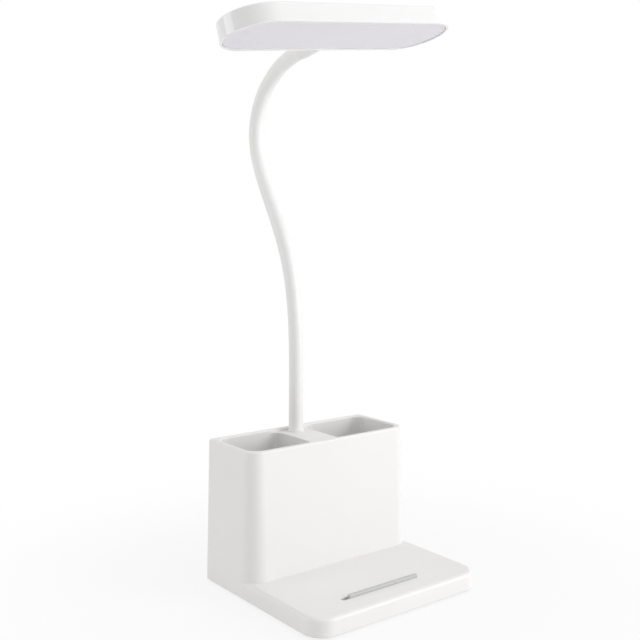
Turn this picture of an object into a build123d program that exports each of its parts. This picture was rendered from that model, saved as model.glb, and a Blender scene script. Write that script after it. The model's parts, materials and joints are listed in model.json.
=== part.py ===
from build123d import *
import math
import os

os.makedirs("parts", exist_ok=True)

# Desk lamp with a pen holder and a phone rest, in millimetres.
# The origin is the centre of the base's footprint on the table.
# X runs along the width, +Y is the back and +Z is up.

# ---------------------------------------------------------------- base: sizes
BASE_WIDTH = 126.0          # width at the foot of the moulding
BASE_DEPTH = 116.0          # front edge of the plate to the back
DRAFT_DEG = 1.6             # moulding draft of every outer wall
WALL = 2.4                  # wall of the base moulding
PLATE_HEIGHT = 11.0         # front plate that the phone stands on
PLATE_CORNER = 12.5         # its two front corners
REAR_CORNER = 4.5           # the two back corners
PLATE_EDGE = 2.5            # rounding of the plate's top edge
FOOT_EDGE = 1.2             # rounding where the moulding meets the table
BOX_HEIGHT = 89.0           # foot of the moulding to the rim
BOX_DEPTH = 53.0            # depth of the box at its foot
BOX_CORNER = 11.5           # the box's two front corners at its foot
RIM_WIDTH = 3.4             # flat rim round the two wells
RIM_EDGE = 1.1              # rounding of the rim
LAND_DROP = 2.0             # the land between the wells lies below the rim
LAND_WIDTH = 21.0           # width of that land
DECK = 3.0                  # thickness of the land

# ---------------------------------------------------------------- pen wells
WELL_CORNER = 8.0
WELL_DRAFT_DEG = 1.0
WELL_ABOVE_CELL = 3.1       # top of the cell to the underside of the well floors
WELL_WALL = 2.0

# ---------------------------------------------------------------- underside
COVER_THICK = 2.4
COVER_CLEARANCE = 0.15
FOOT_RADIUS = 6.0
FOOT_PROUD = 1.0            # the feet lift the moulding off the table
FOOT_RECESS = 0.8
FOOT_INSET = 13.0           # foot centre to the outer edges of the base
FOOT_CLEARANCE = 0.1
FOOT_EDGE_RADIUS = 0.4
BOSS_RADIUS = 3.6
BOSS_INSET = 13.0           # boss centre to the sides of the base
BOSS_BEHIND_FOOT = 11.0     # front foot to front boss
BOSS_AHEAD_OF_FOOT = 12.0   # rear boss to rear foot
SCREW_RADIUS = 1.5
SCREW_CLEARANCE = 0.2
THREAD_CLEARANCE = 0.03
SCREW_LENGTH = 6.0
SCREW_HEAD_RADIUS = 2.7
SCREW_HEAD_HEIGHT = 1.2
CROSS_LENGTH = 1.2          # a screw's cross recess, as shares of its head radius
CROSS_WIDTH = 0.3
SCREW_SINK = 0.1            # the head sits this far above the cover's face
PILOT_SPARE = 0.6           # a pilot hole is this much deeper than its screw

# ---------------------------------------------------------------- phone stop
STOP_LENGTH = 53.0
STOP_OFF_MIDDLE = -2.0      # the stop sits a little to the left of the base's middle
STOP_THICK = 2.6
STOP_HEIGHT = 1.7           # above the plate
STOP_EDGE = 0.6
STOP_BEHIND_FRONT = 16.4    # front edge of the plate to the middle of the stop
STOP_CLEARANCE = 0.2
STOP_FLANGE_DEPTH = 8.4
STOP_FLANGE_THICK = 1.2
SLOT_PAST_STOP = 4.8        # the slot runs past the stop at its left end

# ---------------------------------------------------------------- inside the base
WEIGHT_BOSS_GAP = 4.4       # weight plate to the screw bosses at its sides
WEIGHT_BEHIND_FRONT = 9.0   # front edge of the base to the weight plate
WEIGHT_AHEAD_OF_BOX = 4.0   # and the weight plate to the front of the box
WEIGHT_HEADROOM = 1.0       # weight plate to the stop's flange above it
WEIGHT_CORNER = 4.0
CELL_RADIUS = 9.1
CELL_LENGTH = 65.0
CELL_BEHIND_BOX = 15.0      # front of the box to the cell's axis
CELL_CLEARANCE = 0.1
CELL_EDGE = 0.8
CELL_NUB_RADIUS = 3.0
CELL_NUB_LENGTH = 1.0
CRADLE_FLOOR = 1.2
CRADLE_WALL = 1.6
CRADLE_HEIGHT = 9.0
BOARD_WIDTH = 72.0
BOARD_DEPTH = 17.0
BOARD_THICK = 1.6
BOARD_AHEAD_OF_REAR = 4.0   # back of the base to the board's back edge
BOARD_CORNER = 1.5
STANDOFF_HEIGHT = 4.0
STANDOFF_RADIUS = 2.3
STANDOFF_INSET = 3.2
SMALL_SCREW_RADIUS = 0.9
SMALL_SCREW_LENGTH = 4.4
SMALL_HEAD_RADIUS = 1.7
SMALL_HEAD_HEIGHT = 1.1
INLET_WIDTH = 9.0
INLET_HEIGHT = 3.3
INLET_DEPTH = 7.4
INLET_CORNER = 1.3
INLET_SHELL = 0.35
TONGUE_WIDTH = 6.2
TONGUE_THICK = 0.8
TONGUE_SET_BACK = 0.8       # its tip lies behind the inlet's mouth
INLET_BACK = 0.8            # back wall of the inlet
INLET_SET_BACK = 0.5        # its mouth lies behind the back face
INLET_CLEARANCE = 0.3
TOUCH_RADIUS = 6.5
TOUCH_THICK = 0.4
TOUCH_AHEAD_OF_NECK = 19.5
THIN_LEAD_RADIUS = 0.6
NECK_LEAD_RADIUS = 1.3
LEAD_BEND = 3.0             # radius of the leads' bends
LEAD_RISE = 6.0             # a lead stands this high off its plug before it turns
LEAD_TUCK = 3.0             # length of a lead inside its ferrule
LEAD_BELOW_WELLS = 2.5      # the leads pass this far under the wells' floors
TOUCH_LEAD_DROP = 8.0
TOUCH_LEAD_AHEAD_OF_NECK = 12.5   # it comes down behind the cell
CELL_LEAD_SPREAD = 4.0
CELL_PIN_PITCH = 3.0
PLUG_WIDTH = 6.5
PLUG_DEPTH = 5.0
PLUG_HEIGHT = 4.5
PLUG_PITCH = 13.0           # middle of the board to the nearest plugs
CELL_PLUG_GAP = 2.5         # gap between the touch sensor's plug and the cell's
PARTS_INSET = 4.5           # back edge of the board to the middle of its larger parts
CHIP_X = 20.0
CHIP_WIDTH = 6.0
CHIP_THICK = 1.0
COIL_X = -13.0
COIL_WIDTH = 6.0
COIL_THICK = 2.8
CAN_X = 10.5
CAN_RADIUS = 2.5
CAN_HEIGHT = 6.0

# ---------------------------------------------------------------- neck
NECK_AHEAD_OF_REAR = 11.5   # back of the base to the centre of the neck's foot
NECK_RADIUS = 4.6
NECK_GAP = 0.3              # a link's hollow end runs round the ball below it
NECK_BORE = 1.7             # way for the lead
NECK_LENGTHS = [14.8, 30.0, 30.0, 28.0, 26.0, 24.0, 20.0, 16.0, 14.0, 14.0, 14.0, 14.0, 14.0, 32.0]
NECK_LEANS = [0.0, -1.0, 2.0, 10.0, 23.0, 30.5, 29.5, 21.0, 4.0, -16.0, -34.0, -51.0, -60.5]
COLLAR_LEDGE = 0.6          # the collar stands out from the neck by this
COLLAR_HEIGHT = 1.6
COLLAR_EDGE = 0.5
FERRULE_RADIUS = 4.0
FERRULE_CLEARANCE = 0.1
SPIGOT_RADIUS = 3.0
SPIGOT_LENGTH = 9.0
WASHER_RADIUS = 6.2
WASHER_THICK = 0.8
NUT_FLATS = 12.0
NUT_THICK = 4.0
FERRULE_TAIL = 2.0          # thread showing below the nut

# ---------------------------------------------------------------- head
HEAD_LENGTH = 162.0
HEAD_DEPTH = 45.0
HEAD_HEIGHT = 11.0
HEAD_DRAFT_DEG = 1.5
HEAD_PITCH = 12.5           # the front edge is tipped up
HEAD_ROLL = 6.5             # the right-hand end is tipped up
HEAD_EDGE = 1.0
HEAD_RIM = 1.5              # rim that shows round the diffuser
HEAD_WALL = 2.6
HEAD_TOP = 1.6
DIFFUSER_THICK = 1.5
DIFFUSER_RECESS = 0.5
DIFFUSER_CLEARANCE = 0.15
HEAD_COLLAR_LENGTH = 15.0
HEAD_COLLAR_LIP = 0.6       # its wall at the lip on the neck
HEAD_COLLAR_ROOT = 1.1      # its wall at the head
HEAD_COLLAR_EDGE = 0.5
HEAD_COLLAR_CLEARANCE = 0.1
HEAD_FERRULE_RADIUS = 2.3
HEAD_FERRULE_LENGTH = 8.0   # inside the last link
HEAD_NUT_CLEARANCE = 0.3    # nut to the diffuser below it
HEAD_NUT_THICK = 2.4
HEAD_FERRULE_TAIL = 1.6
LED_BOARD_END_GAP = 11.0    # end of the head to the board
LED_BOARD_THICK = 1.0
LED_BOARD_FRONT_GAP = 7.5   # inner front wall of the housing to the board
LED_BOARD_REAR_GAP = 9.9    # outside of the rear wall to the board
LED_POST_HEIGHT = 1.0
LED_POST_RADIUS = 2.4
LED_ROWS = 2
LED_COLUMNS = 12
LED_END_MARGIN = 6.75       # end of the board to the first column's middle
LED_PITCH_Y = 12.0
LED_LENGTH = 3.5
LED_WIDTH = 2.8
LED_THICK = 0.7
LED_SCREW_STEP = 4          # the outer screws stand this many columns from the middle one
LED_SCREW_LENGTH = 2.2
LED_LEAD_RADIUS = 0.5
LED_LEAD_APART = 1.6
LED_LEAD_BEND = 1.2
LED_PAD_INSET = 2.0

# ---------------------------------------------------------------- places worked out from them
z_foot = FOOT_PROUD
half_width = BASE_WIDTH / 2
front_y = -BASE_DEPTH / 2
rear_y = BASE_DEPTH / 2
box_front_y = rear_y - BOX_DEPTH
cover_top = z_foot + COVER_THICK
plate_top = z_foot + PLATE_HEIGHT
plate_under = plate_top - WALL
rim_z = z_foot + BOX_HEIGHT
land_z = rim_z - LAND_DROP
deck_under = land_z - DECK
cell_z = cover_top + CRADLE_FLOOR + CELL_CLEARANCE + CELL_RADIUS
floor_z = cell_z + CELL_RADIUS + WELL_ABOVE_CELL + WELL_WALL
well_depth = land_z - floor_z
lean_in = BOX_HEIGHT * math.tan(math.radians(DRAFT_DEG))
pocket_half = half_width - lean_in - RIM_WIDTH
pocket_front = box_front_y + lean_in + RIM_WIDTH
pocket_rear = rear_y - lean_in - RIM_WIDTH
pocket_depth = pocket_rear - pocket_front
pocket_mid = (pocket_front + pocket_rear) / 2
board_under = cover_top + STANDOFF_HEIGHT
board_top = board_under + BOARD_THICK
board_rear_y = rear_y - BOARD_AHEAD_OF_REAR
board_mid_y = board_rear_y - BOARD_DEPTH / 2
boss_x = half_width - BOSS_INSET
boss_front_y = front_y + FOOT_INSET + BOSS_BEHIND_FOOT
boss_rear_y = rear_y - FOOT_INSET - BOSS_AHEAD_OF_FOOT
stop_y = front_y + STOP_BEHIND_FRONT
neck_y = rear_y - NECK_AHEAD_OF_REAR
touch_y = neck_y - TOUCH_AHEAD_OF_NECK
touch_lead_y = neck_y - TOUCH_LEAD_AHEAD_OF_NECK
cell_y = box_front_y + CELL_BEHIND_BOX
weight_width = 2 * (boss_x - BOSS_RADIUS - WEIGHT_BOSS_GAP)
weight_front_y = front_y + WEIGHT_BEHIND_FRONT
weight_rear_y = box_front_y - WEIGHT_AHEAD_OF_BOX
weight_thick = plate_under - STOP_FLANGE_THICK - WEIGHT_HEADROOM - cover_top


def outline(half, front, rear, front_radius, rear_radius):
    sketch = Pos(0, (front + rear) / 2) * Rectangle(2 * half, rear - front)
    sketch = fillet(sketch.vertices().sort_by(Axis.Y)[:2], front_radius)
    sketch = fillet(sketch.vertices().sort_by(Axis.Y)[-2:], rear_radius)
    return sketch


def drafted(sketch, z, height, draft):
    return extrude(Pos(0, 0, z) * sketch, amount=height, taper=draft)


def upright(x, y, z, radius, height):
    return Pos(x, y, z) * Cylinder(radius, height, align=(Align.CENTER, Align.CENTER, Align.MIN))


def block(x, y, z, width, depth, height):
    return Pos(x, y, z) * Box(width, depth, height, align=(Align.CENTER, Align.CENTER, Align.MIN))


def screw(radius, length, head_radius, head_height):
    # shank up along +Z from the seat, head below it, with a cross recess
    body = upright(0, 0, 0, radius, length) + upright(0, 0, -head_height, head_radius, head_height)
    bar_length = CROSS_LENGTH * head_radius
    bar_width = CROSS_WIDTH * head_radius
    cross = block(0, 0, -head_height, bar_length, bar_width, head_height / 2)
    cross += block(0, 0, -head_height, bar_width, bar_length, head_height / 2)
    return body - cross


def lead(points, radius, bend):
    # an insulated wire: straight runs joined by round bends
    path = FilletPolyline(*points, radius=bend)
    start = Plane(origin=path @ 0, z_dir=path % 0)
    return sweep(start * Circle(radius), path=path)


# ---------------------------------------------------------------- base moulding
plate_outline = outline(half_width, front_y, rear_y, PLATE_CORNER, REAR_CORNER)
plate = drafted(plate_outline, z_foot, PLATE_HEIGHT, DRAFT_DEG)
plate = fillet(plate.edges().group_by(Axis.Z)[-1], PLATE_EDGE)
plate = fillet(plate.edges().group_by(Axis.Z)[0], FOOT_EDGE)

box_outline = outline(half_width, box_front_y, rear_y, BOX_CORNER, REAR_CORNER)
box = drafted(box_outline, z_foot, BOX_HEIGHT, DRAFT_DEG)
pocket = Pos(0, pocket_mid) * RectangleRounded(2 * pocket_half, pocket_depth, WELL_CORNER)
box -= drafted(pocket, land_z, LAND_DROP, 0)
box = fillet(box.edges().group_by(Axis.Z)[-1], RIM_EDGE)
box -= block(0, 0, 0, 2 * BASE_WIDTH, 2 * BASE_DEPTH, z_foot + PLATE_HEIGHT / 2)

plate_room = drafted(
    outline(half_width - WALL, front_y + WALL, rear_y - WALL, PLATE_CORNER - WALL, REAR_CORNER - WALL),
    z_foot,
    PLATE_HEIGHT - WALL,
    DRAFT_DEG,
)
box_room = drafted(
    outline(half_width - WALL, box_front_y + WALL, rear_y - WALL, BOX_CORNER - WALL, REAR_CORNER - WALL),
    z_foot,
    deck_under - z_foot,
    DRAFT_DEG,
)
housing = plate + box - plate_room - box_room

well_width = pocket_half - LAND_WIDTH / 2
well_x = LAND_WIDTH / 2 + well_width / 2
wells = []
for side in (-1, 1):
    mouth = RectangleRounded(well_width, pocket_depth, WELL_CORNER)
    jacket_width = well_width + 2 * WELL_WALL
    jacket_depth = pocket_depth + 2 * WELL_WALL
    jacket = RectangleRounded(jacket_width, jacket_depth, WELL_CORNER + WELL_WALL)
    place = Pos(side * well_x, pocket_mid, land_z)
    wells.append(extrude(place * mouth, amount=well_depth, dir=(0, 0, -1), taper=WELL_DRAFT_DEG))
    outer = extrude(place * jacket, amount=well_depth + WELL_WALL, dir=(0, 0, -1), taper=WELL_DRAFT_DEG)
    housing += outer
for well in wells:
    housing -= well

pilot_depth = SCREW_LENGTH - (COVER_THICK - SCREW_HEAD_HEIGHT - SCREW_SINK) + PILOT_SPARE
boss_places = [(side * boss_x, y) for side in (-1, 1) for y in (boss_front_y, boss_rear_y)]
for x, y in boss_places:
    boss_top = plate_under if y < box_front_y else floor_z - WELL_WALL
    housing += upright(x, y, cover_top, BOSS_RADIUS, boss_top - cover_top + WALL / 2)
for x, y in boss_places:
    housing -= upright(x, y, cover_top, SCREW_RADIUS + THREAD_CLEARANCE, pilot_depth)

# the slot for the phone stop has round ends and opens into the hollow plate
slot_length = STOP_LENGTH + SLOT_PAST_STOP + 2 * STOP_CLEARANCE
slot_x = STOP_OFF_MIDDLE - SLOT_PAST_STOP / 2
slot_sketch = SlotOverall(slot_length, STOP_THICK + 2 * STOP_CLEARANCE)
slot = Pos(slot_x, stop_y, plate_under) * slot_sketch
housing -= extrude(slot, amount=WALL)
housing -= upright(0, neck_y, deck_under, FERRULE_RADIUS + FERRULE_CLEARANCE, DECK)

inlet_z = board_top + INLET_HEIGHT / 2
inlet_hole = RectangleRounded(
    INLET_WIDTH + 2 * INLET_CLEARANCE,
    INLET_HEIGHT + 2 * INLET_CLEARANCE,
    INLET_CORNER + INLET_CLEARANCE,
)
back_plane = Plane(origin=(0, rear_y, inlet_z), x_dir=(-1, 0, 0), z_dir=(0, 1, 0))
housing -= extrude(back_plane * inlet_hole, amount=2 * WALL, both=True)
export_step(housing, "parts/base_housing.step")

# ---------------------------------------------------------------- bottom cover and feet
cover = drafted(
    outline(
        half_width - WALL - COVER_CLEARANCE,
        front_y + WALL + COVER_CLEARANCE,
        rear_y - WALL - COVER_CLEARANCE,
        PLATE_CORNER - WALL - COVER_CLEARANCE,
        REAR_CORNER - WALL - COVER_CLEARANCE,
    ),
    z_foot,
    COVER_THICK,
    DRAFT_DEG,
)
standoff_places = [
    (side * (BOARD_WIDTH / 2 - STANDOFF_INSET), y)
    for side in (-1, 1)
    for y in (board_rear_y - BOARD_DEPTH + STANDOFF_INSET, board_rear_y - STANDOFF_INSET)
]
for x, y in standoff_places:
    cover += upright(x, y, cover_top, STANDOFF_RADIUS, STANDOFF_HEIGHT)
    pilot = SMALL_SCREW_LENGTH - BOARD_THICK + PILOT_SPARE
    cover -= upright(x, y, board_under - pilot, SMALL_SCREW_RADIUS + THREAD_CLEARANCE, pilot)
sink = SCREW_HEAD_HEIGHT + SCREW_SINK
for x, y in boss_places:
    cover -= upright(x, y, z_foot, SCREW_HEAD_RADIUS + SCREW_CLEARANCE, sink)
    cover -= upright(x, y, z_foot, SCREW_RADIUS + SCREW_CLEARANCE, COVER_THICK)
foot_places = [
    (side * (half_width - FOOT_INSET), y)
    for side in (-1, 1)
    for y in (front_y + FOOT_INSET, rear_y - FOOT_INSET)
]
feet = []
for x, y in foot_places:
    cover -= upright(x, y, z_foot, FOOT_RADIUS + FOOT_CLEARANCE, FOOT_RECESS)
    foot = upright(x, y, 0, FOOT_RADIUS, FOOT_PROUD + FOOT_RECESS)
    feet.append(fillet(foot.edges().group_by(Axis.Z)[0], FOOT_EDGE_RADIUS))
export_step(cover, "parts/bottom_cover.step")
export_step(Compound(children=feet), "parts/rubber_feet.step")

cover_screws = []
for x, y in boss_places:
    one = screw(SCREW_RADIUS, SCREW_LENGTH, SCREW_HEAD_RADIUS, SCREW_HEAD_HEIGHT)
    cover_screws.append(Pos(x, y, z_foot + sink) * one)
export_step(Compound(children=cover_screws), "parts/cover_screws.step")

# ---------------------------------------------------------------- phone stop
stop_sketch = Pos(STOP_OFF_MIDDLE, stop_y, plate_under) * SlotOverall(STOP_LENGTH, STOP_THICK)
stop = extrude(stop_sketch, amount=WALL + STOP_HEIGHT)
stop = fillet(stop.edges().group_by(Axis.Z)[-1], STOP_EDGE)
flange_z = plate_under - STOP_FLANGE_THICK
stop += block(STOP_OFF_MIDDLE, stop_y, flange_z, STOP_LENGTH, STOP_FLANGE_DEPTH, STOP_FLANGE_THICK)
export_step(stop, "parts/phone_stop.step")

# ---------------------------------------------------------------- ballast, cell and its cradle
weight_sketch = Pos(0, (weight_front_y + weight_rear_y) / 2) * RectangleRounded(
    weight_width, weight_rear_y - weight_front_y, WEIGHT_CORNER
)
weight = drafted(weight_sketch, cover_top, weight_thick, 0)
export_step(weight, "parts/weight_plate.step")

cell_axis = Plane(origin=(-CELL_LENGTH / 2, cell_y, cell_z), z_dir=(1, 0, 0))
cell_body = extrude(cell_axis * Circle(CELL_RADIUS), amount=CELL_LENGTH - CELL_NUB_LENGTH)
cell_body = fillet(cell_body.edges(), CELL_EDGE)
cell = cell_body + extrude(cell_axis * Circle(CELL_NUB_RADIUS), amount=CELL_LENGTH)
export_step(cell, "parts/battery_cell.step")

cradle_length = CELL_LENGTH + 2 * CELL_CLEARANCE + 2 * CRADLE_WALL
cradle_depth = 2 * (CELL_RADIUS + CELL_CLEARANCE + CRADLE_WALL)
cradle = block(0, cell_y, cover_top, cradle_length, cradle_depth, CRADLE_HEIGHT)
room_axis = Plane(origin=(-CELL_LENGTH / 2 - CELL_CLEARANCE, cell_y, cell_z), z_dir=(1, 0, 0))
cradle -= extrude(room_axis * Circle(CELL_RADIUS + CELL_CLEARANCE), amount=CELL_LENGTH + 2 * CELL_CLEARANCE)
export_step(cradle, "parts/battery_cradle.step")

# ---------------------------------------------------------------- circuit board and inlet
board_sketch = Pos(0, board_mid_y) * RectangleRounded(BOARD_WIDTH, BOARD_DEPTH, BOARD_CORNER)
board = drafted(board_sketch, board_under, BOARD_THICK, 0)
for x, y in standoff_places:
    board -= upright(x, y, board_under, SMALL_SCREW_RADIUS + SCREW_CLEARANCE, BOARD_THICK)
export_step(board, "parts/main_board.step")

board_screws = []
for x, y in standoff_places:
    one = screw(SMALL_SCREW_RADIUS, SMALL_SCREW_LENGTH, SMALL_HEAD_RADIUS, SMALL_HEAD_HEIGHT)
    board_screws.append(Pos(x, y, board_top) * Rot(180, 0, 0) * one)
export_step(Compound(children=board_screws), "parts/board_screws.step")

neck_plug_x = PLUG_PITCH
touch_plug_x = -PLUG_PITCH
cell_plug_x = touch_plug_x - PLUG_WIDTH - CELL_PLUG_GAP
plug_y = board_rear_y - BOARD_DEPTH + PLUG_DEPTH
board_parts = [
    block(x, plug_y, board_top, PLUG_WIDTH, PLUG_DEPTH, PLUG_HEIGHT)
    for x in (neck_plug_x, touch_plug_x, cell_plug_x)
]
chip_y = board_rear_y - PARTS_INSET
board_parts.append(block(CHIP_X, chip_y, board_top, CHIP_WIDTH, CHIP_WIDTH, CHIP_THICK))
board_parts.append(block(COIL_X, chip_y, board_top, COIL_WIDTH, COIL_WIDTH, COIL_THICK))
board_parts.append(upright(CAN_X, chip_y, board_top, CAN_RADIUS, CAN_HEIGHT))
export_step(Compound(children=board_parts), "parts/board_parts.step")

inlet_mouth_y = rear_y - (inlet_z - z_foot) * math.tan(math.radians(DRAFT_DEG)) - INLET_SET_BACK
inlet_plane = Plane(origin=(0, inlet_mouth_y, inlet_z), x_dir=(1, 0, 0), z_dir=(0, -1, 0))
inlet = extrude(inlet_plane * RectangleRounded(INLET_WIDTH, INLET_HEIGHT, INLET_CORNER), amount=INLET_DEPTH)
inlet_room = RectangleRounded(
    INLET_WIDTH - 2 * INLET_SHELL, INLET_HEIGHT - 2 * INLET_SHELL, INLET_CORNER - INLET_SHELL
)
inlet -= extrude(inlet_plane * inlet_room, amount=INLET_DEPTH - INLET_BACK)
tongue = RectangleRounded(TONGUE_WIDTH, TONGUE_THICK, TONGUE_THICK / 3)
inlet += extrude(inlet_plane.offset(TONGUE_SET_BACK) * tongue, amount=INLET_DEPTH - TONGUE_SET_BACK)
export_step(inlet, "parts/charging_inlet.step")

# ---------------------------------------------------------------- touch sensor and leads
touch = upright(0, touch_y, deck_under - TOUCH_THICK, TOUCH_RADIUS, TOUCH_THICK)
export_step(touch, "parts/touch_plate.step")

plug_top = board_top + PLUG_HEIGHT
under_wells = floor_z - WELL_WALL - LEAD_BELOW_WELLS
touch_lead = lead(
    [
        (0, touch_y, deck_under - TOUCH_THICK),
        (0, touch_y, deck_under - TOUCH_LEAD_DROP),
        (0, touch_lead_y, deck_under - 2 * TOUCH_LEAD_DROP),
        (0, touch_lead_y, under_wells),
        (touch_plug_x, plug_y, plug_top + LEAD_RISE),
        (touch_plug_x, plug_y, plug_top),
    ],
    THIN_LEAD_RADIUS,
    LEAD_BEND,
)
export_step(touch_lead, "parts/touch_lead.step")

ferrule_end = deck_under - WASHER_THICK - NUT_THICK - FERRULE_TAIL
neck_lead = lead(
    [
        (0, neck_y, ferrule_end + LEAD_TUCK),
        (0, neck_y, under_wells),
        (neck_plug_x, plug_y, plug_top + LEAD_RISE),
        (neck_plug_x, plug_y, plug_top),
    ],
    NECK_LEAD_RADIUS,
    LEAD_BEND,
)
export_step(neck_lead, "parts/neck_lead.step")

# both leads leave the cell's wrapper halfway between its top and its back
cell_leads = []
slant = math.sqrt(0.5)
for side in (-1, 1):
    end_x = cell_plug_x + side * CELL_LEAD_SPREAD
    pin_x = cell_plug_x + side * CELL_PIN_PITCH / 2
    tab = CELL_RADIUS * slant
    clear = (CELL_RADIUS + LEAD_RISE) * slant
    cell_leads.append(
        lead(
            [
                (end_x, cell_y + tab, cell_z + tab),
                (end_x, cell_y + clear, cell_z + clear),
                (pin_x, plug_y, plug_top + LEAD_RISE),
                (pin_x, plug_y, plug_top),
            ],
            THIN_LEAD_RADIUS,
            LEAD_BEND / 2,
        )
    )
export_step(Compound(children=cell_leads), "parts/cell_leads.step")

# ---------------------------------------------------------------- fixing of the neck on the land
collar = upright(0, neck_y, land_z, NECK_RADIUS + COLLAR_LEDGE, COLLAR_HEIGHT)
collar = fillet(collar.edges().group_by(Axis.Z)[-1], COLLAR_EDGE)
collar -= upright(0, neck_y, land_z, FERRULE_RADIUS + FERRULE_CLEARANCE, COLLAR_HEIGHT)
export_step(collar, "parts/neck_collar.step")

neck_foot_z = land_z + COLLAR_HEIGHT
ferrule = upright(0, neck_y, ferrule_end, FERRULE_RADIUS, neck_foot_z - ferrule_end)
ferrule += upright(0, neck_y, neck_foot_z, SPIGOT_RADIUS, SPIGOT_LENGTH)
ferrule -= upright(0, neck_y, ferrule_end, NECK_BORE, neck_foot_z - ferrule_end + SPIGOT_LENGTH)
export_step(ferrule, "parts/neck_ferrule.step")

washer = upright(0, neck_y, deck_under - WASHER_THICK, WASHER_RADIUS, WASHER_THICK)
washer -= upright(0, neck_y, deck_under - WASHER_THICK, FERRULE_RADIUS + FERRULE_CLEARANCE, WASHER_THICK)
export_step(washer, "parts/neck_washer.step")

nut_z = deck_under - WASHER_THICK - NUT_THICK
nut_sketch = Pos(0, neck_y, nut_z) * RegularPolygon(NUT_FLATS / 2, 6, major_radius=False)
nut = extrude(nut_sketch, amount=NUT_THICK)
nut -= upright(0, neck_y, nut_z, FERRULE_RADIUS + THREAD_CLEARANCE, NUT_THICK)
export_step(nut, "parts/neck_nut.step")

# ---------------------------------------------------------------- neck links
# Each link is a tube with a ball at its top that sits in the hollow foot of the next link.
leans = NECK_LEANS + [HEAD_PITCH - 90.0]
last = len(NECK_LENGTHS) - 1
pivot = Vector(0, neck_y, neck_foot_z)
for number, (length, lean) in enumerate(zip(NECK_LENGTHS, leans)):
    link = upright(0, 0, 0, NECK_RADIUS, length)
    if number < last:
        link += Pos(0, 0, length) * Sphere(NECK_RADIUS)
    if number > 0:
        link -= Sphere(NECK_RADIUS + NECK_GAP)
    if number == 0:
        link -= upright(0, 0, 0, SPIGOT_RADIUS + THREAD_CLEARANCE, SPIGOT_LENGTH)
    if number == last:
        hole_z = length - HEAD_FERRULE_LENGTH
        link -= upright(0, 0, hole_z, HEAD_FERRULE_RADIUS + THREAD_CLEARANCE, HEAD_FERRULE_LENGTH)
    link -= upright(0, 0, -NECK_RADIUS, NECK_BORE, length + 3 * NECK_RADIUS)
    place = Pos(pivot.X, pivot.Y, pivot.Z) * Rot(-lean, 0, 0)
    export_step(place * link, f"parts/neck_link_{number + 1:02d}.step")
    rise = math.radians(lean)
    pivot += Vector(0, length * math.sin(rise), length * math.cos(rise))

# ---------------------------------------------------------------- head
# The head's own frame: its origin is where the neck meets the rear wall, -Y runs to the front
# edge and +Z is its top. The head is built there and then put on the end of the neck.
head_place = Pos(pivot.X, pivot.Y, pivot.Z) * Rot(-HEAD_PITCH, 0, 0) * Rot(0, -HEAD_ROLL, 0)
head_mid_y = -HEAD_DEPTH / 2
head_under = -HEAD_HEIGHT / 2
seat_z = head_under + DIFFUSER_RECESS + DIFFUSER_THICK
room_top = HEAD_HEIGHT / 2 - HEAD_TOP


def slab(inset, z, height, draft):
    sketch = SlotOverall(HEAD_LENGTH - 2 * inset, HEAD_DEPTH - 2 * inset)
    return extrude(Pos(0, head_mid_y, z) * sketch, amount=height, taper=draft)


def along_neck(y, radius, length):
    # a round bar along the head's -Y axis, from y towards the front edge
    return extrude(Plane(origin=(0, y, 0), z_dir=(0, -1, 0)) * Circle(radius), amount=length)


head_solid = slab(0, head_under, HEAD_HEIGHT, HEAD_DRAFT_DEG)
shell = fillet(head_solid.edges().group_by(Axis.Z)[-1], HEAD_EDGE)
shell -= slab(HEAD_RIM, head_under, DIFFUSER_RECESS + DIFFUSER_THICK, 0)
shell -= slab(HEAD_WALL, seat_z, room_top - seat_z, 0)
led_board_length = HEAD_LENGTH - 2 * LED_BOARD_END_GAP
led_board_front = -HEAD_DEPTH + HEAD_WALL + LED_BOARD_FRONT_GAP
led_board_y = (led_board_front - LED_BOARD_REAR_GAP) / 2
led_board_depth = -LED_BOARD_REAR_GAP - led_board_front
led_pitch_x = (led_board_length - 2 * LED_END_MARGIN) / (LED_COLUMNS - 1)
led_board_top = room_top - LED_POST_HEIGHT
led_board_under = led_board_top - LED_BOARD_THICK
led_screw_places = [(side * LED_SCREW_STEP * led_pitch_x, led_board_y) for side in (-1, 0, 1)]
for x, y in led_screw_places:
    shell += upright(x, y, led_board_top, LED_POST_RADIUS, LED_POST_HEIGHT + HEAD_TOP / 2)
    hole = LED_SCREW_LENGTH - LED_BOARD_THICK
    shell -= upright(x, y, led_board_top, SMALL_SCREW_RADIUS + THREAD_CLEARANCE, hole)
shell -= along_neck(HEAD_WALL, HEAD_FERRULE_RADIUS + THREAD_CLEARANCE, 3 * HEAD_WALL)
export_step(head_place * shell, "parts/head_housing.step")

diffuser = slab(HEAD_RIM + DIFFUSER_CLEARANCE, head_under + DIFFUSER_RECESS, DIFFUSER_THICK, 0)
export_step(head_place * diffuser, "parts/diffuser.step")

led_board = block(0, led_board_y, led_board_under, led_board_length, led_board_depth, LED_BOARD_THICK)
for x, y in led_screw_places:
    led_board -= upright(x, y, led_board_under, SMALL_SCREW_RADIUS + SCREW_CLEARANCE, LED_BOARD_THICK)
export_step(head_place * led_board, "parts/led_board.step")

leds = []
for row in range(LED_ROWS):
    for column in range(LED_COLUMNS):
        x = (column - (LED_COLUMNS - 1) / 2) * led_pitch_x
        y = led_board_y + (row - (LED_ROWS - 1) / 2) * LED_PITCH_Y
        chip = block(x, y, led_board_under - LED_THICK, LED_LENGTH, LED_WIDTH, LED_THICK)
        leds.append(head_place * chip)
export_step(Compound(children=leds), "parts/leds.step")

led_screws = []
for x, y in led_screw_places:
    one = screw(SMALL_SCREW_RADIUS, LED_SCREW_LENGTH, SMALL_HEAD_RADIUS, SMALL_HEAD_HEIGHT)
    led_screws.append(head_place * Pos(x, y, led_board_under) * one)
export_step(Compound(children=led_screws), "parts/led_screws.step")

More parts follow.
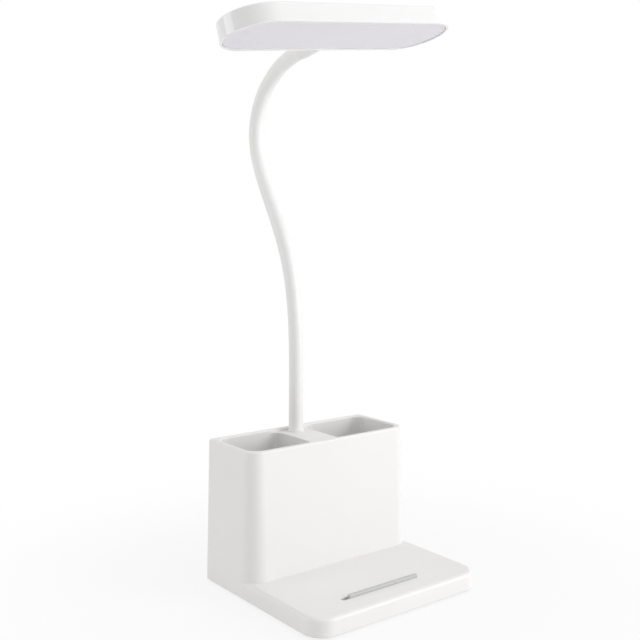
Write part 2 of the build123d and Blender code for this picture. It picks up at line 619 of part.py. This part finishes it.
nut_front = HEAD_WALL + HEAD_NUT_THICK
head_ferrule = along_neck(
    HEAD_FERRULE_LENGTH, HEAD_FERRULE_RADIUS, HEAD_FERRULE_LENGTH + nut_front + HEAD_FERRULE_TAIL
)
head_ferrule -= along_neck(
    HEAD_FERRULE_LENGTH, NECK_BORE, HEAD_FERRULE_LENGTH + nut_front + HEAD_FERRULE_TAIL
)
export_step(head_place * head_ferrule, "parts/head_ferrule.step")

head_nut_plane = Plane(origin=(0, -HEAD_WALL, 0), x_dir=(1, 0, 0), z_dir=(0, -1, 0))
head_nut_sketch = RegularPolygon(-seat_z - HEAD_NUT_CLEARANCE, 6, major_radius=False)
head_nut = extrude(head_nut_plane * head_nut_sketch, amount=HEAD_NUT_THICK)
head_nut -= along_neck(0, HEAD_FERRULE_RADIUS + THREAD_CLEARANCE, 2 * nut_front)
export_step(head_place * head_nut, "parts/head_nut.step")

cone_axis = Plane(origin=(0, HEAD_COLLAR_LENGTH, 0), x_dir=(1, 0, 0), z_dir=(0, -1, 0))
collar_far = HEAD_COLLAR_LENGTH + HEAD_EDGE
collar_bore = NECK_RADIUS + HEAD_COLLAR_CLEARANCE
head_collar = Solid.make_cone(
    collar_bore + HEAD_COLLAR_LIP, collar_bore + HEAD_COLLAR_ROOT, collar_far, plane=cone_axis
)
head_collar = fillet(head_collar.edges().sort_by(Axis.Y)[-1:], HEAD_COLLAR_EDGE)
head_collar -= along_neck(2 * HEAD_COLLAR_LENGTH, collar_bore, 3 * HEAD_COLLAR_LENGTH)
head_collar -= head_solid
export_step(head_place * head_collar, "parts/head_collar.step")

led_leads = []
lead_start = -nut_front - HEAD_FERRULE_TAIL
pad_y = -LED_BOARD_REAR_GAP - LED_PAD_INSET
for side in (-1, 1):
    led_leads.append(
        head_place
        * lead(
            [
                (side * LED_LEAD_APART / 2, lead_start + LEAD_TUCK, 0),
                (side * LED_LEAD_APART / 2, lead_start - LED_LEAD_BEND, 0),
                (side * LED_LEAD_APART, pad_y, 0),
                (side * LED_LEAD_APART, pad_y, led_board_under),
            ],
            LED_LEAD_RADIUS,
            LED_LEAD_BEND,
        )
    )
export_step(Compound(children=led_leads), "parts/led_leads.step")
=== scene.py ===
# %% [markdown]
# # A desk lamp with a pen holder, dressed in Blender
#
# The lamp's rigid pieces come from its construction model, which stays as it is and gets its
# finishes here. What bends or is soft, the sleeve of the neck and the feet, is made here as meshes.
# Every length is in metres, +X is the lamp's right, +Y its back and +Z is up.

# %% Load the construction model
import json
import math

import bmesh
import bpy
from mathutils import Matrix, Vector

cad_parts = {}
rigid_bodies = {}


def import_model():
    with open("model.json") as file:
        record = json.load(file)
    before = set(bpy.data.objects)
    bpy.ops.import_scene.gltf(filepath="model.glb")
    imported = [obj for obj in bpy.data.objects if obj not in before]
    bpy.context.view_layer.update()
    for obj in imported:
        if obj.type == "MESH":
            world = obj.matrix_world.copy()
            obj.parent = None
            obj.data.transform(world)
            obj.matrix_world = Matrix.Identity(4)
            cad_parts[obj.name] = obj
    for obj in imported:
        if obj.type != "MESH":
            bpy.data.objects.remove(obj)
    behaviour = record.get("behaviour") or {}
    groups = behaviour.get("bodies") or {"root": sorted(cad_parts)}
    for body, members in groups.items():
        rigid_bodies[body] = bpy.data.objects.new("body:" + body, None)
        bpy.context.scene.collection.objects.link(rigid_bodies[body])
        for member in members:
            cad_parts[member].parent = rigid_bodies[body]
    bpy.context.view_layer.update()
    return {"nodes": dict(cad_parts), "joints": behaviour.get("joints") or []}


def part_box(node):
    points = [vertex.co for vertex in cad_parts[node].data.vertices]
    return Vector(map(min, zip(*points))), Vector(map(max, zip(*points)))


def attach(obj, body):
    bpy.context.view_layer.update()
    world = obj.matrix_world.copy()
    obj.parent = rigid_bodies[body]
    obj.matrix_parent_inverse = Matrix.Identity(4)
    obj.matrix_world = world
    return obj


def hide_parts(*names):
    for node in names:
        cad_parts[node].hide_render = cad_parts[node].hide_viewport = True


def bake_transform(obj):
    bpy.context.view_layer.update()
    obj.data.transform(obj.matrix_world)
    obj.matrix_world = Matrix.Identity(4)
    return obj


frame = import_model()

nodes = frame["nodes"]

# %% [markdown]
# ## The camera
#
# A camera is a place, a direction and a lens. The lamp is seen from the front left, from a little
# above its base, so the upright edges of the box stay nearly parallel. A lens of 53 mm on a 36 mm
# sensor is a normal lens: it neither stretches the front corner nor flattens the depth.

# %% Camera
CAMERA_PLACE = (-0.3558, -0.4391, 0.2266)
CAMERA_HEADING = 37.71
CAMERA_DIP = 6.29
LENS = 53.29
SENSOR_WIDTH = 36.0

camera_data = bpy.data.cameras.new("camera")
camera_data.lens = LENS
camera_data.sensor_width = SENSOR_WIDTH
camera_data.clip_start = 0.01
camera = bpy.data.objects.new("camera", camera_data)
camera.location = CAMERA_PLACE
camera.rotation_euler = (math.radians(90 - CAMERA_DIP), 0, math.radians(-CAMERA_HEADING))
bpy.context.scene.collection.objects.link(camera)
bpy.context.scene.camera = camera
bpy.context.scene.view_settings.view_transform = "Standard"
print("camera at", CAMERA_PLACE, "lens", camera_data.lens)

# %% [markdown]
# ## Light and background
#
# White plastic is shaped by soft light only. The sky gives an even fill, and three large lamps make
# one side of each form a little brighter than the next. Camera rays, reflections and rays through
# clear material see a white sky of strength 1. The strength of the sky that lights the lamp is set
# apart from it, so the background can be white while the plastic isn't washed out.

# %% Sky
SKY_FILL = 0.58

world = bpy.data.worlds.new("studio")
bpy.context.scene.world = world
world.use_nodes = True
sky = world.node_tree
sky.nodes.clear()
rays = sky.nodes.new("ShaderNodeLightPath")
seen = sky.nodes.new("ShaderNodeMath")
seen.operation = "MAXIMUM"
seen_or_through = sky.nodes.new("ShaderNodeMath")
seen_or_through.operation = "MAXIMUM"
fill = sky.nodes.new("ShaderNodeBackground")
fill.inputs["Color"].default_value = (1, 1, 1, 1)
fill.inputs["Strength"].default_value = SKY_FILL
white = sky.nodes.new("ShaderNodeBackground")
white.inputs["Color"].default_value = (1, 1, 1, 1)
white.inputs["Strength"].default_value = 1.0
choose = sky.nodes.new("ShaderNodeMixShader")
sky_out = sky.nodes.new("ShaderNodeOutputWorld")
sky.links.new(rays.outputs["Is Camera Ray"], seen.inputs[0])
sky.links.new(rays.outputs["Is Glossy Ray"], seen.inputs[1])
sky.links.new(seen.outputs[0], seen_or_through.inputs[0])
sky.links.new(rays.outputs["Is Transmission Ray"], seen_or_through.inputs[1])
sky.links.new(seen_or_through.outputs[0], choose.inputs[0])
sky.links.new(fill.outputs[0], choose.inputs[1])
sky.links.new(white.outputs[0], choose.inputs[2])
sky.links.new(choose.outputs[0], sky_out.inputs["Surface"])
print("sky fill", SKY_FILL)


# %% Lamps
def soft_lamp(name, place, target, width, height, watts):
    """A rectangular area lamp at place that faces target."""
    data = bpy.data.lights.new(name, "AREA")
    data.shape = "RECTANGLE"
    data.size = width
    data.size_y = height
    data.energy = watts
    lamp = bpy.data.objects.new(name, data)
    lamp.location = place
    lamp.rotation_euler = (Vector(target) - Vector(place)).to_track_quat("-Z", "Y").to_euler()
    bpy.context.scene.collection.objects.link(lamp)
    return lamp


AIM = (0, 0, 0.17)
soft_lamp("front_lamp", place=(0.95, -1.15, 0.5), target=AIM, width=0.9, height=0.9, watts=11.6)
soft_lamp("top_lamp", place=(0.0, -0.1, 1.5), target=AIM, width=1.2, height=1.2, watts=3.2)
soft_lamp("left_lamp", place=(-1.2, 0.75, 0.5), target=AIM, width=0.7, height=1.1, watts=3.4)

# %% [markdown]
# ## Finishes
#
# Every finish is a small node tree on the piece's own Object coordinates, so it stays put when the
# neck bends. A moulded surface is never quite even: its colour drifts a little over centimetres,
# its gloss drifts too, and the steel of the mould leaves a fine grain that only shows in
# reflections. One helper makes those three layers, and each finish sets their sizes and strengths.


# %% Helpers that make a finish
NOISE_LOW, NOISE_HIGH = 0.35, 0.65
DRIFT_SCALE = 14.0
GLOSS_SCALE = 45.0
GLOSS_DRIFT = 0.12
GRAIN_STRENGTH = 0.5
COAT_ROUGHNESS = 0.08


def finish_tree(name):
    """A new material with an empty tree, its Principled shader and its Object coordinates."""
    material = bpy.data.materials.new(name)
    material.use_nodes = True
    tree = material.node_tree
    tree.nodes.clear()
    out = tree.nodes.new("ShaderNodeOutputMaterial")
    shader = tree.nodes.new("ShaderNodeBsdfPrincipled")
    where = tree.nodes.new("ShaderNodeTexCoord")
    tree.links.new(shader.outputs["BSDF"], out.inputs["Surface"])
    return material, tree, shader, where.outputs["Object"]


def noise(tree, where, scale, detail=3.0):
    """Noise of the given size, as a value round a half."""
    node = tree.nodes.new("ShaderNodeTexNoise")
    node.inputs["Scale"].default_value = scale
    node.inputs["Detail"].default_value = detail
    tree.links.new(where, node.inputs["Vector"])
    return node.outputs["Fac"]


def spread(tree, value, low, high):
    """Turns the middle range of a noise into low to high."""
    node = tree.nodes.new("ShaderNodeMapRange")
    node.inputs["From Min"].default_value = NOISE_LOW
    node.inputs["From Max"].default_value = NOISE_HIGH
    node.inputs["To Min"].default_value = low
    node.inputs["To Max"].default_value = high
    tree.links.new(value, node.inputs["Value"])
    return node.outputs["Result"]


def tint(tree, value, dark, light):
    """Mixes two colours by a value."""
    node = tree.nodes.new("ShaderNodeMix")
    node.data_type = "RGBA"
    node.inputs["A"].default_value = (*dark, 1)
    node.inputs["B"].default_value = (*light, 1)
    tree.links.new(value, node.inputs["Factor"])
    return node.outputs["Result"]


def bumps(tree, shader, height, distance, strength):
    """Small relief on the surface, from a height between 0 and 1."""
    node = tree.nodes.new("ShaderNodeBump")
    node.inputs["Strength"].default_value = strength
    node.inputs["Distance"].default_value = distance
    tree.links.new(height, node.inputs["Height"])
    tree.links.new(node.outputs["Normal"], shader.inputs["Normal"])


def moulded(name, colour, drift, rough, grain, depth, coat=0.0):
    """Colour that drifts, gloss that drifts and a fine grain, all from noise."""
    material, tree, shader, where = finish_tree(name)
    dark = tuple(max(0.0, c - drift) for c in colour)
    light = tuple(min(1.0, c + drift) for c in colour)
    slow = spread(tree, noise(tree, where, DRIFT_SCALE), 0.0, 1.0)
    tree.links.new(tint(tree, slow, dark, light), shader.inputs["Base Color"])
    low, high = rough * (1 - GLOSS_DRIFT), rough * (1 + GLOSS_DRIFT)
    gloss = spread(tree, noise(tree, where, GLOSS_SCALE), low, high)
    tree.links.new(gloss, shader.inputs["Roughness"])
    bumps(tree, shader, noise(tree, where, grain, 2.0), depth, GRAIN_STRENGTH)
    shader.inputs["Coat Weight"].default_value = coat
    shader.inputs["Coat Roughness"].default_value = COAT_ROUGHNESS
    return material


# %% [markdown]
# The white mouldings are two finishes. The base, its cover and the collars come out of a lightly
# textured mould and are satin. The head comes out of a polished one: its edge mirrors the studio.

# %% White mouldings
satin_white = moulded("satin_white", (0.866, 0.855, 0.849), 0.006, 0.38, 2600.0, 0.00004)
gloss_white = moulded(
    "gloss_white", (0.874, 0.867, 0.864), 0.004, 0.10, 900.0, 0.000004, coat=0.6
)
print("made", satin_white.name, gloss_white.name)

# %% [markdown]
# The neck's sleeve is soft silicone, duller than the mouldings, with a faint bloom that shows where
# its surface turns away. The stop is silver-grey plastic and the feet are grey rubber.

# %% Sleeve, stop and feet
sleeve_silicone = moulded("sleeve_silicone", (0.892, 0.888, 0.880), 0.008, 0.44, 1500.0, 0.00005)
silicone = sleeve_silicone.node_tree.nodes["Principled BSDF"]
silicone.inputs["Sheen Weight"].default_value = 0.08
silicone.inputs["Sheen Roughness"].default_value = 0.4
stop_grey = moulded("stop_grey", (0.55, 0.548, 0.55), 0.012, 0.34, 1800.0, 0.00003)
foot_rubber = moulded("foot_rubber", (0.30, 0.30, 0.31), 0.015, 0.75, 1200.0, 0.00008)
print("made", sleeve_silicone.name, stop_grey.name, foot_rubber.name)

# %% [markdown]
# The sheet in the head's underside is milky acrylic. Light enters it, scatters and comes out again,
# so it gets a little subsurface scattering and looks soft and slightly cooler than the plastic
# round it.

# %% Milky sheet
milky_sheet = moulded("milky_sheet", (0.815, 0.792, 0.84), 0.004, 0.34, 1400.0, 0.00001)
milky = milky_sheet.node_tree.nodes["Principled BSDF"]
milky.inputs["Subsurface Weight"].default_value = 0.35
milky.inputs["Subsurface Radius"].default_value = (1.0, 1.0, 1.0)
milky.inputs["Subsurface Scale"].default_value = 0.002
print("made", milky_sheet.name)


# %% [markdown]
# Inside the lamp are metals, leads and a circuit board. Brushed metal has fine scratches that all
# run one way: stretched noise does that. A board is green lacquer over copper runs, made here from
# a brick pattern whose mortar lines stand for the runs.


# %% Metals
SCRATCH_STRETCH = 40.0
SCRATCH_SCALE = 60.0
SCRATCH_DEPTH = 0.00003


def brushed(name, colour, rough, along):
    """Metal with scratches along one axis: the noise is stretched by its Mapping node."""
    material, tree, shader, where = finish_tree(name)
    mapping = tree.nodes.new("ShaderNodeMapping")
    stretch = tuple(1.0 if axis == along else SCRATCH_STRETCH for axis in "XYZ")
    mapping.inputs["Scale"].default_value = stretch
    tree.links.new(where, mapping.inputs["Vector"])
    lines = noise(tree, mapping.outputs["Vector"], SCRATCH_SCALE, 5.0)
    dark = tuple(0.8 * c for c in colour)
    shade = tint(tree, spread(tree, lines, 0.0, 1.0), dark, colour)
    tree.links.new(shade, shader.inputs["Base Color"])
    tree.links.new(spread(tree, lines, rough * 0.8, rough * 1.25), shader.inputs["Roughness"])
    bumps(tree, shader, lines, SCRATCH_DEPTH, 0.4)
    shader.inputs["Metallic"].default_value = 1.0
    return material


bright_steel = brushed("bright_steel", (0.60, 0.60, 0.61), 0.28, "X")
turned_brass = brushed("turned_brass", (0.72, 0.56, 0.28), 0.30, "Z")
copper_foil = brushed("copper_foil", (0.80, 0.45, 0.30), 0.35, "Y")
print("made", bright_steel.name, turned_brass.name, copper_foil.name)

# %% Board, cell, leads and light chips
board_green, tree, shader, where = finish_tree("board_green")
runs = tree.nodes.new("ShaderNodeTexBrick")
runs.inputs["Scale"].default_value = 260.0
runs.inputs["Mortar Size"].default_value = 0.03
runs.inputs["Color1"].default_value = (0.02, 0.16, 0.07, 1)
runs.inputs["Color2"].default_value = (0.02, 0.13, 0.06, 1)
runs.inputs["Mortar"].default_value = (0.05, 0.27, 0.12, 1)
tree.links.new(where, runs.inputs["Vector"])
tree.links.new(runs.outputs["Color"], shader.inputs["Base Color"])
bumps(tree, shader, runs.outputs["Fac"], 0.00003, 0.5)
shader.inputs["Roughness"].default_value = 0.35
black_plastic = moulded("black_plastic", (0.03, 0.03, 0.032), 0.006, 0.45, 2000.0, 0.00004)
cell_wrap = moulded("cell_wrap", (0.06, 0.16, 0.42), 0.01, 0.25, 800.0, 0.00002)
red_lead = moulded("red_lead", (0.45, 0.03, 0.03), 0.02, 0.40, 1500.0, 0.00003)
light_chip = moulded("light_chip", (0.85, 0.72, 0.22), 0.03, 0.30, 1500.0, 0.00002)
print("made", board_green.name, cell_wrap.name, light_chip.name)

# %% [markdown]
# ## Finishes on the rigid pieces
#
# The construction pieces keep their meshes. A finish is given by filling their material slots.

# %% Assign the finishes
FINISH_OF = {
    "base_housing": satin_white, "bottom_cover": satin_white, "neck_collar": satin_white,
    "head_collar": satin_white, "led_board": satin_white, "head_housing": gloss_white,
    "diffuser": milky_sheet, "phone_stop": stop_grey, "weight_plate": bright_steel,
    "cover_screws": bright_steel, "board_screws": bright_steel, "led_screws": bright_steel,
    "neck_washer": bright_steel, "neck_nut": bright_steel, "head_nut": bright_steel,
    "charging_inlet": bright_steel, "neck_ferrule": turned_brass, "head_ferrule": turned_brass,
    "touch_plate": copper_foil, "main_board": board_green, "board_parts": black_plastic,
    "battery_cradle": black_plastic, "neck_lead": black_plastic, "battery_cell": cell_wrap,
    "touch_lead": red_lead, "cell_leads": red_lead, "led_leads": red_lead, "leds": light_chip,
}


def give(piece, material):
    """Puts one finish on the whole piece."""
    piece.data.materials.clear()
    piece.data.materials.append(material)


for name, material in FINISH_OF.items():
    give(nodes[name], material)
print("finished", len(FINISH_OF), "of", len(nodes), "nodes; the rest are replaced below")


# %% [markdown]
# ## The neck's sleeve
#
# The real neck is a steel gooseneck in a smooth sleeve. The construction model holds it as short
# links, which bend at joints, and the sleeve has to look unbroken over them. A curve that goes
# through the middle of every link, along that link, and is pulled towards the joint between them is
# a quadratic Bezier: start, middle and end are the middle of one link, the joint, and the middle of
# the next. One Geometry Nodes tree sweeps a circle along that curve, and is used once per joint
# with other inputs. Each piece curves through its joint, so neighbours meet at the middle of a
# link. Only the foot and top pieces follow the links they sit on; the pieces between stay in place.


# %% The sleeve's node tree
def sleeve_tree():
    """A tube along a quadratic Bezier, whose radius goes evenly from one end's to the other's."""
    tree = bpy.data.node_groups.new("sleeve_piece", "GeometryNodeTree")
    face = tree.interface
    face.new_socket("Geometry", in_out="OUTPUT", socket_type="NodeSocketGeometry")
    for name in ("Start", "Middle", "End"):
        face.new_socket(name, in_out="INPUT", socket_type="NodeSocketVector")
    for name in ("Start Radius", "End Radius"):
        face.new_socket(name, in_out="INPUT", socket_type="NodeSocketFloat")
    for name in ("Rings", "Sides"):
        face.new_socket(name, in_out="INPUT", socket_type="NodeSocketInt")
    face.new_socket("Finish", in_out="INPUT", socket_type="NodeSocketMaterial")
    given = tree.nodes.new("NodeGroupInput")
    out = tree.nodes.new("NodeGroupOutput")
    curve = tree.nodes.new("GeometryNodeCurveQuadraticBezier")
    for name in ("Start", "Middle", "End"):
        tree.links.new(given.outputs[name], curve.inputs[name])
    tree.links.new(given.outputs["Rings"], curve.inputs["Resolution"])
    circle = tree.nodes.new("GeometryNodeCurvePrimitiveCircle")
    circle.inputs["Radius"].default_value = 1.0
    tree.links.new(given.outputs["Sides"], circle.inputs["Resolution"])
    along = tree.nodes.new("GeometryNodeSplineParameter")
    radius = tree.nodes.new("ShaderNodeMix")
    radius.data_type = "FLOAT"
    tree.links.new(along.outputs["Factor"], radius.inputs["Factor"])
    tree.links.new(given.outputs["Start Radius"], radius.inputs["A"])
    tree.links.new(given.outputs["End Radius"], radius.inputs["B"])
    tube = tree.nodes.new("GeometryNodeCurveToMesh")
    tube.inputs["Fill Caps"].default_value = True
    tree.links.new(curve.outputs["Curve"], tube.inputs["Curve"])
    tree.links.new(circle.outputs["Curve"], tube.inputs["Profile Curve"])
    tree.links.new(radius.outputs["Result"], tube.inputs["Scale"])
    real = tree.nodes.new("GeometryNodeRealizeInstances")
    painted = tree.nodes.new("GeometryNodeSetMaterial")
    tree.links.new(tube.outputs["Mesh"], real.inputs["Geometry"])
    tree.links.new(real.outputs["Geometry"], painted.inputs["Geometry"])
    tree.links.new(given.outputs["Finish"], painted.inputs["Material"])
    tree.links.new(painted.outputs["Geometry"], out.inputs["Geometry"])
    return tree


def grown(name, tree, sizes, sharp=40.0):
    """Runs a tree with the given inputs and returns its result as a plain mesh piece."""
    holder = bpy.data.objects.new(name + "_holder", bpy.data.meshes.new(name + "_holder"))
    bpy.context.scene.collection.objects.link(holder)
    step = holder.modifiers.new("grow", "NODES")
    step.node_group = tree
    for item in tree.interface.items_tree:
        if item.item_type == "SOCKET" and item.in_out == "INPUT" and item.name in sizes:
            step[item.identifier] = sizes[item.name]
    bpy.context.view_layer.update()
    ready = holder.evaluated_get(bpy.context.evaluated_depsgraph_get())
    mesh = bpy.data.meshes.new_from_object(ready)
    bpy.data.objects.remove(holder)
    piece = bpy.data.objects.new(name, mesh)
    mesh.name = name
    bpy.context.scene.collection.objects.link(piece)
    mesh.shade_smooth()
    mesh.set_sharp_from_angle(angle=math.radians(sharp))
    return piece


tube_tree = sleeve_tree()
print("tree:", tube_tree.name, "inputs:", [i.name for i in tube_tree.interface.items_tree])

# %% [markdown]
# The joints' places come from the construction model, and the sleeve ends in the middle of the
# brass ferrule that holds it in the head. It is a touch wider at its foot and below the head, where
# it is stretched over the fittings, and draws in again under the lip of the head's collar.

# %% Sleeve pieces
SLEEVE_SIDES = 48
JOINT_RINGS = 24
END_RINGS = 6
# Two shares along a piece; the points there are listed in held below and not used further.
BEND_START, BEND_END = 0.14, 0.86
# Shares of the sleeve's length, with the radius there.
SLEEVE_WIDTHS = (
    (0.0, 0.00470), (0.10, 0.00455), (0.55, 0.00450),
    (0.85, 0.00470), (0.94, 0.00475), (1.0, 0.00450),
)
# For the pieces named here the two links in held are put the other way round, upper link first.
# With all joints at their lowest limit, a blend of this piece would only come out right from the
# upper link; no piece is blended in this script.
BLENDED_FROM_ABOVE = ("sleeve_07",)

pivots = [Vector(j["pos_m"]) for j in frame["joints"] if j["name"].startswith("neck_joint")]
bodies = [frame["joints"][0]["parent"]] + [j["child"] for j in frame["joints"]]
foot = Vector((pivots[0].x, pivots[0].y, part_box("neck_collar")[1].z))
ferrule_low, ferrule_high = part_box("head_ferrule")
tip = (ferrule_low + ferrule_high) / 2
stations = [foot, *pivots, tip]
lengths = [(b - a).length for a, b in zip(stations, stations[1:])]
whole = sum(lengths)


def sleeve_radius(distance):
    """The sleeve's radius at a distance from its foot."""
    share = distance / whole
    for (a, ra), (b, rb) in zip(SLEEVE_WIDTHS, SLEEVE_WIDTHS[1:]):
        if share <= b:
            return ra + (rb - ra) * (share - a) / (b - a)
    return SLEEVE_WIDTHS[-1][1]


def sleeve_piece(name, start, middle, end, from_foot, rings):
    """One piece of the sleeve; from_foot is the distance of its start from the neck's foot."""
    run = (middle - start).length + (end - middle).length
    return grown(name, tube_tree, {
        "Start": start, "Middle": middle, "End": end, "Rings": rings, "Sides": SLEEVE_SIDES,
        "Start Radius": sleeve_radius(from_foot), "End Radius": sleeve_radius(from_foot + run),
        "Finish": sleeve_silicone,
    })


middles = [(a + b) / 2 for a, b in zip(stations, stations[1:])]
bottom = sleeve_piece("sleeve_foot", foot, (foot + middles[0]) / 2, middles[0], 0.0, END_RINGS)
sleeve = [bottom]
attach(sleeve[0], bodies[0])
reached = lengths[0] / 2
for number, pivot in enumerate(pivots):
    before, after = middles[number], middles[number + 1]
    name = f"sleeve_{number + 1:02d}"
    piece = sleeve_piece(name, before, pivot, after, reached, JOINT_RINGS)
    held = [
        (bodies[number], before.lerp(after, BEND_START)),
        (bodies[number + 1], before.lerp(after, BEND_END)),
    ]
    if name in BLENDED_FROM_ABOVE:
        held.reverse()
    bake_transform(piece)
    sleeve.append(piece)
    reached += (lengths[number] + lengths[number + 1]) / 2
top = sleeve_piece("sleeve_top", middles[-1], (middles[-1] + tip) / 2, tip, reached, END_RINGS)
sleeve.append(top)
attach(sleeve[-1], bodies[-1])
for number, piece in enumerate(sleeve):
    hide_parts(f"neck_link_{min(number, 13) + 1:02d}")
print("sleeve pieces:", len(sleeve), "length in mm:", round(1000 * whole, 1))


# %% [markdown]
# ## The feet
#
# Four rubber feet sit in recesses of the cover. One foot is turned from its outline, a low disc
# with a groove and a hollowed middle, and Geometry Nodes put a copy at each corner.


# %% One foot, turned
def turned(name, outline, steps):
    """A closed piece of revolution about Z; outline goes from the axis at its bottom to its top."""
    mesh = bpy.data.meshes.new(name)
    shape = bmesh.new()
    rims = []
    for radius, height in outline:
        if radius == 0:
            rims.append([shape.verts.new((0, 0, height))])
            continue
        turns = [2 * math.pi * k / steps for k in range(steps)]
        places = [(radius * math.cos(t), radius * math.sin(t), height) for t in turns]
        rims.append([shape.verts.new(place) for place in places])
    for low, high in zip(rims, rims[1:]):
        for k in range(steps):
            n = (k + 1) % steps
            under = [low[k % len(low)], low[n % len(low)]]
            over = [high[n % len(high)], high[k % len(high)]]
            shape.faces.new(list(dict.fromkeys(under + over)))
    bmesh.ops.recalc_face_normals(shape, faces=shape.faces)
    shape.to_mesh(mesh)
    shape.free()
    return mesh


FOOT_RADIUS = 0.006
FOOT_TOP = 0.0018
FOOT_STEPS = 48
FOOT_OUTLINE = [
    (0, 0.00035), (0.0026, 0.00030), (0.0034, 0.0), (0.0043, 0.0), (0.0046, 0.00022),
    (0.0049, 0.0), (0.0055, 0.0), (0.0059, 0.00015), (FOOT_RADIUS, 0.0004),
    (FOOT_RADIUS, FOOT_TOP), (0, FOOT_TOP),
]
foot_mesh = turned("foot_pattern", FOOT_OUTLINE, FOOT_STEPS)
print("foot faces:", len(foot_mesh.polygons))


# %% Four feet by Geometry Nodes
def copies_tree():
    """Puts the pattern piece on the four corners of a rectangle and makes the copies real."""
    tree = bpy.data.node_groups.new("corner_copies", "GeometryNodeTree")
    face = tree.interface
    face.new_socket("Geometry", in_out="OUTPUT", socket_type="NodeSocketGeometry")
    face.new_socket("Pattern", in_out="INPUT", socket_type="NodeSocketObject")
    face.new_socket("Width", in_out="INPUT", socket_type="NodeSocketFloat")
    face.new_socket("Depth", in_out="INPUT", socket_type="NodeSocketFloat")
    face.new_socket("Finish", in_out="INPUT", socket_type="NodeSocketMaterial")
    given = tree.nodes.new("NodeGroupInput")
    out = tree.nodes.new("NodeGroupOutput")
    grid = tree.nodes.new("GeometryNodeMeshGrid")
    grid.inputs["Vertices X"].default_value = 2
    grid.inputs["Vertices Y"].default_value = 2
    tree.links.new(given.outputs["Width"], grid.inputs["Size X"])
    tree.links.new(given.outputs["Depth"], grid.inputs["Size Y"])
    pattern = tree.nodes.new("GeometryNodeObjectInfo")
    tree.links.new(given.outputs["Pattern"], pattern.inputs["Object"])
    put = tree.nodes.new("GeometryNodeInstanceOnPoints")
    tree.links.new(grid.outputs["Mesh"], put.inputs["Points"])
    tree.links.new(pattern.outputs["Geometry"], put.inputs["Instance"])
    real = tree.nodes.new("GeometryNodeRealizeInstances")
    painted = tree.nodes.new("GeometryNodeSetMaterial")
    tree.links.new(put.outputs["Instances"], real.inputs["Geometry"])
    tree.links.new(real.outputs["Geometry"], painted.inputs["Geometry"])
    tree.links.new(given.outputs["Finish"], painted.inputs["Material"])
    tree.links.new(painted.outputs["Geometry"], out.inputs["Geometry"])
    return tree


foot_low, foot_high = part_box("rubber_feet")
pattern = bpy.data.objects.new("foot_pattern", foot_mesh)
bpy.context.scene.collection.objects.link(pattern)
feet = grown("feet", copies_tree(), {
    "Pattern": pattern,
    "Width": foot_high.x - foot_low.x - 2 * FOOT_RADIUS,
    "Depth": foot_high.y - foot_low.y - 2 * FOOT_RADIUS,
    "Finish": foot_rubber,
}, sharp=50.0)
bpy.data.objects.remove(pattern)
centre = (foot_low + foot_high) / 2
feet.data.transform(Matrix.Translation((centre.x, centre.y, 0)))
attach(feet, bodies[0])
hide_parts("rubber_feet")
print("feet at", [round(v, 4) for v in centre])

# %% [markdown]
# ## The floor
#
# A pale table top that carries the lamp's soft shadow. Near the lamp the camera sees that shadow
# faintly, mixed with white. Farther out it sees only the same white as the sky, so no horizon
# shows.

# %% Floor
FLOOR_HALF = 4.0
WHITE_NEAR, WHITE_FAR = 0.80, 1.0
FADE_FROM, FADE_TO = 0.08, 0.30

floor_mesh = bpy.data.meshes.new("floor")
shape = bmesh.new()
bmesh.ops.create_grid(shape, x_segments=8, y_segments=8, size=FLOOR_HALF)
shape.to_mesh(floor_mesh)
shape.free()
floor = bpy.data.objects.new("floor", floor_mesh)
bpy.context.scene.collection.objects.link(floor)
pale_top, tree, shader, where = finish_tree("pale_top")
shader.inputs["Roughness"].default_value = 0.9
shader.inputs["Specular IOR Level"].default_value = 0.1
pale = tint(tree, noise(tree, where, 3.0), (0.90, 0.90, 0.90), (0.92, 0.92, 0.92))
tree.links.new(pale, shader.inputs["Base Color"])
far = tree.nodes.new("ShaderNodeVectorMath")
far.operation = "LENGTH"
tree.links.new(where, far.inputs[0])
fade = tree.nodes.new("ShaderNodeMapRange")
fade.interpolation_type = "SMOOTHSTEP"
fade.inputs["From Min"].default_value = FADE_FROM
fade.inputs["From Max"].default_value = FADE_TO
fade.inputs["To Min"].default_value = WHITE_NEAR
fade.inputs["To Max"].default_value = WHITE_FAR
tree.links.new(far.outputs["Value"], fade.inputs["Value"])
rays = tree.nodes.new("ShaderNodeLightPath")
seen = tree.nodes.new("ShaderNodeMath")
seen.operation = "MAXIMUM"
tree.links.new(rays.outputs["Is Camera Ray"], seen.inputs[0])
tree.links.new(rays.outputs["Is Glossy Ray"], seen.inputs[1])
share = tree.nodes.new("ShaderNodeMath")
share.operation = "MULTIPLY"
tree.links.new(seen.outputs[0], share.inputs[0])
tree.links.new(fade.outputs["Result"], share.inputs[1])
glow = tree.nodes.new("ShaderNodeEmission")
glow.inputs["Strength"].default_value = 1.0
blend = tree.nodes.new("ShaderNodeMixShader")
tree.links.new(share.outputs[0], blend.inputs[0])
tree.links.new(shader.outputs["BSDF"], blend.inputs[1])
tree.links.new(glow.outputs["Emission"], blend.inputs[2])
out = next(n for n in tree.nodes if n.type == "OUTPUT_MATERIAL")
tree.links.new(blend.outputs["Shader"], out.inputs["Surface"])
give(floor, pale_top)
print("floor", 2 * FLOOR_HALF, "m wide")
